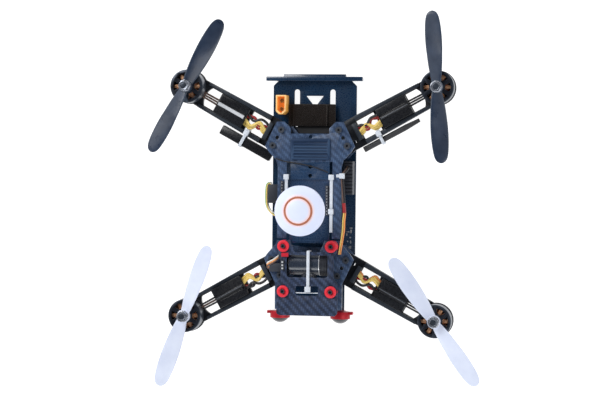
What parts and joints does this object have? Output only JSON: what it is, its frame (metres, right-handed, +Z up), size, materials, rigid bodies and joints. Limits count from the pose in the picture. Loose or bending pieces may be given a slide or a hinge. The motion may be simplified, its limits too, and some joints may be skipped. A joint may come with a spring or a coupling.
{
  "type": "quadcopter drone",
  "caption": "Racing quadcopter: flat board-and-plate body, swinging clamped arms, motors with two-blade propellers, tilting camera on red dampers, mushroom antenna, headlights and strap.",
  "frame": {"origin": "centre of the landing pad under the middle of the body, on the ground", "axes": "+X to the right side, +Y to the tail with the battery plug, +Z up"},
  "size_m": [0.2831, 0.3183, 0.092],
  "materials": {
    "board": "gloss navy solder mask",
    "rubber": "matte black",
    "carbon": "satin twill weave",
    "deck": "gloss navy",
    "cover": "matte ribbed",
    "spacer": "black anodised",
    "black_steel": "blackened",
    "amber": "gloss amber",
    "gold": "plated",
    "webbing": "fuzzy hook-and-loop",
    "damper_red": "soft satin",
    "black_plastic": "moulded",
    "anodised_red": "anodised",
    "smoked": "smoked gloss",
    "silver": "satin",
    "cap_white": "satin",
    "copper": "satin",
    "tie_white": "satin nylon",
    "lead_sheath": "soft PVC",
    "lens": "gloss",
    "sleeve": "heat-shrink",
    "arm": "satin",
    "esc_wrap": "heat-shrink",
    "windings": "lacquered copper",
    "bell_black": "black anodised",
    "prop_black": "satin",
    "prop_white": "translucent satin",
    "nut_silver": "satin"
  },
  "bodies": {
    "airframe": {"base_board": "board", "rubber_pads": "rubber", "lower_clamp_plates": "carbon", "rear_clamp_plate": "carbon", "front_clamp_plate": "carbon", "centre_deck": "deck", "centre_cover": "cover", "flight_controller": "board", "clamp_spacers": "spacer", "screws": "black_steel", "tail_board": "board", "power_plug": "amber", "power_contacts": "gold", "battery_strap": "webbing", "camera_plate": "carbon", "camera_dampers": "damper_red", "camera_bracket": "black_plastic", "headlight_bezels": "anodised_red", "headlight_domes": "smoked", "antenna_mast": "silver", "antenna_cap": "cap_white", "antenna_ring": "copper", "video_transmitter": "black_plastic", "cable_ties": "tie_white", "body_connectors": "black_plastic", "body_leads": "lead_sheath"},
    "rear_left_arm_unit": {"rear_left_arm": "arm", "rear_left_esc": "esc_wrap", "rear_left_leads": "lead_sheath", "rear_left_stator": "windings", "receiver": "black_plastic", "receiver_tie": "tie_white"},
    "rear_left_rotor": {"rear_left_bell": "bell_black", "rear_left_prop": "prop_black", "rear_left_nut": "nut_silver"},
    "rear_right_arm_unit": {"rear_right_arm": "arm", "rear_right_esc": "esc_wrap", "rear_right_leads": "lead_sheath", "rear_right_stator": "windings", "antenna_sleeve": "sleeve", "sleeve_tie": "tie_white"},
    "rear_right_rotor": {"rear_right_bell": "bell_black", "rear_right_prop": "prop_black", "rear_right_nut": "nut_silver"},
    "front_left_arm_unit": {"front_left_arm": "arm", "front_left_esc": "esc_wrap", "front_left_leads": "lead_sheath", "front_left_stator": "windings"},
    "front_left_rotor": {"front_left_bell": "bell_black", "front_left_prop": "prop_white", "front_left_nut": "nut_silver"},
    "front_right_arm_unit": {"front_right_arm": "arm", "front_right_esc": "esc_wrap", "front_right_leads": "lead_sheath", "front_right_stator": "windings"},
    "front_right_rotor": {"front_right_bell": "bell_black", "front_right_prop": "prop_white", "front_right_nut": "nut_silver"},
    "camera": {"camera_body": "black_plastic", "camera_lens": "lens"}
  },
  "joints": [
    {"name": "rear_left_fold", "type": "hinge", "parent": "airframe", "child": "rear_left_arm_unit", "pos_m": [-0.02438, 0.06123, 0.0125], "axis": [0, 0, 1], "range_deg": [0, 20]},
    {"name": "rear_right_fold", "type": "hinge", "parent": "airframe", "child": "rear_right_arm_unit", "pos_m": [0.02438, 0.06123, 0.0125], "axis": [0, 0, -1], "range_deg": [0, 20]},
    {"name": "front_left_fold", "type": "hinge", "parent": "airframe", "child": "front_left_arm_unit", "pos_m": [-0.02438, -0.06123, 0.0125], "axis": [0, 0, -1], "range_deg": [0, 20]},
    {"name": "front_right_fold", "type": "hinge", "parent": "airframe", "child": "front_right_arm_unit", "pos_m": [0.02438, -0.06123, 0.0125], "axis": [0, 0, 1], "range_deg": [0, 20]},
    {"name": "rear_left_spin", "type": "hinge", "parent": "rear_left_arm_unit", "child": "rear_left_rotor", "pos_m": [-0.1065, 0.0975, 0.031], "axis": [0, 0, 1], "continuous": true},
    {"name": "rear_right_spin", "type": "hinge", "parent": "rear_right_arm_unit", "child": "rear_right_rotor", "pos_m": [0.1065, 0.0975, 0.031], "axis": [0, 0, 1], "continuous": true},
    {"name": "front_left_spin", "type": "hinge", "parent": "front_left_arm_unit", "child": "front_left_rotor", "pos_m": [-0.1065, -0.0975, 0.031], "axis": [0, 0, 1], "continuous": true},
    {"name": "front_right_spin", "type": "hinge", "parent": "front_right_arm_unit", "child": "front_right_rotor", "pos_m": [0.1065, -0.0975, 0.031], "axis": [0, 0, 1], "continuous": true},
    {"name": "camera_tilt", "type": "hinge", "parent": "airframe", "child": "camera", "pos_m": [0, -0.0514, 0.027], "axis": [-1, 0, 0], "range_deg": [-15, 15]}
  ]
}
